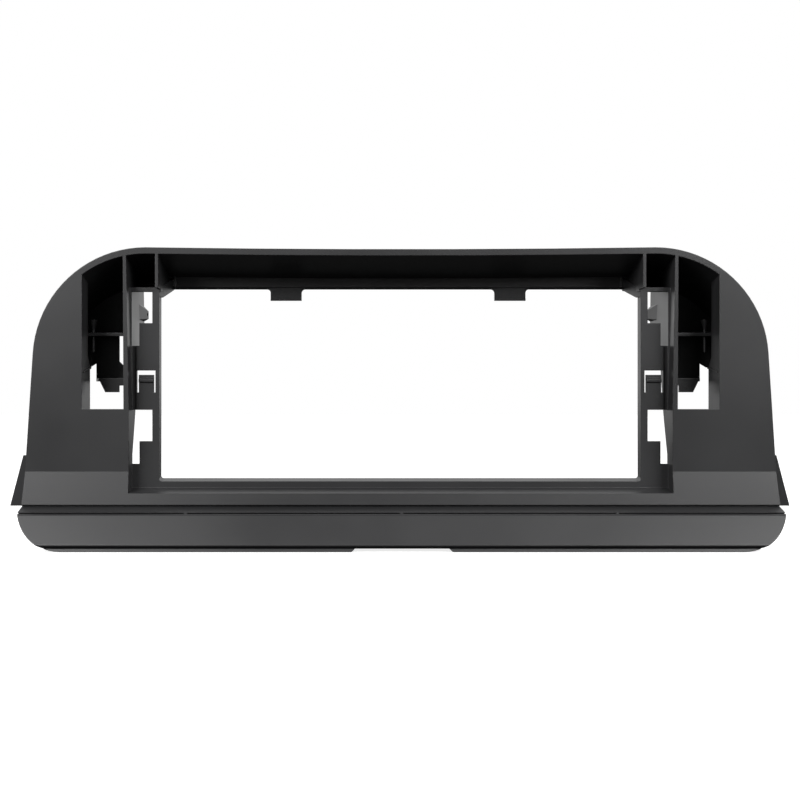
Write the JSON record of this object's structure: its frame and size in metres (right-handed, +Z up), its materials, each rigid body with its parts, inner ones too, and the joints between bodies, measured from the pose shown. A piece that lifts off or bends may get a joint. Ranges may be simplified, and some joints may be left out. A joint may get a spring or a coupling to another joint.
{
  "type": "car radio mounting frame",
  "caption": "One-piece moulded dashboard frame with a hooded, recessed window that seats a wide car radio screen, side pockets and a lip along its foot.",
  "frame": {"origin": "middle of the footprint, on the plane that the two long feet stand on", "axes": "+X along the frame, +Y from its front to its back, +Z up"},
  "size_m": [0.4488, 0.0824, 0.1696],
  "materials": {
    "moulded_abs": "black moulded ABS with a satin face"
  },
  "bodies": {
    "root": {"mounting_frame": "moulded_abs"}
  },
  "joints": []
}
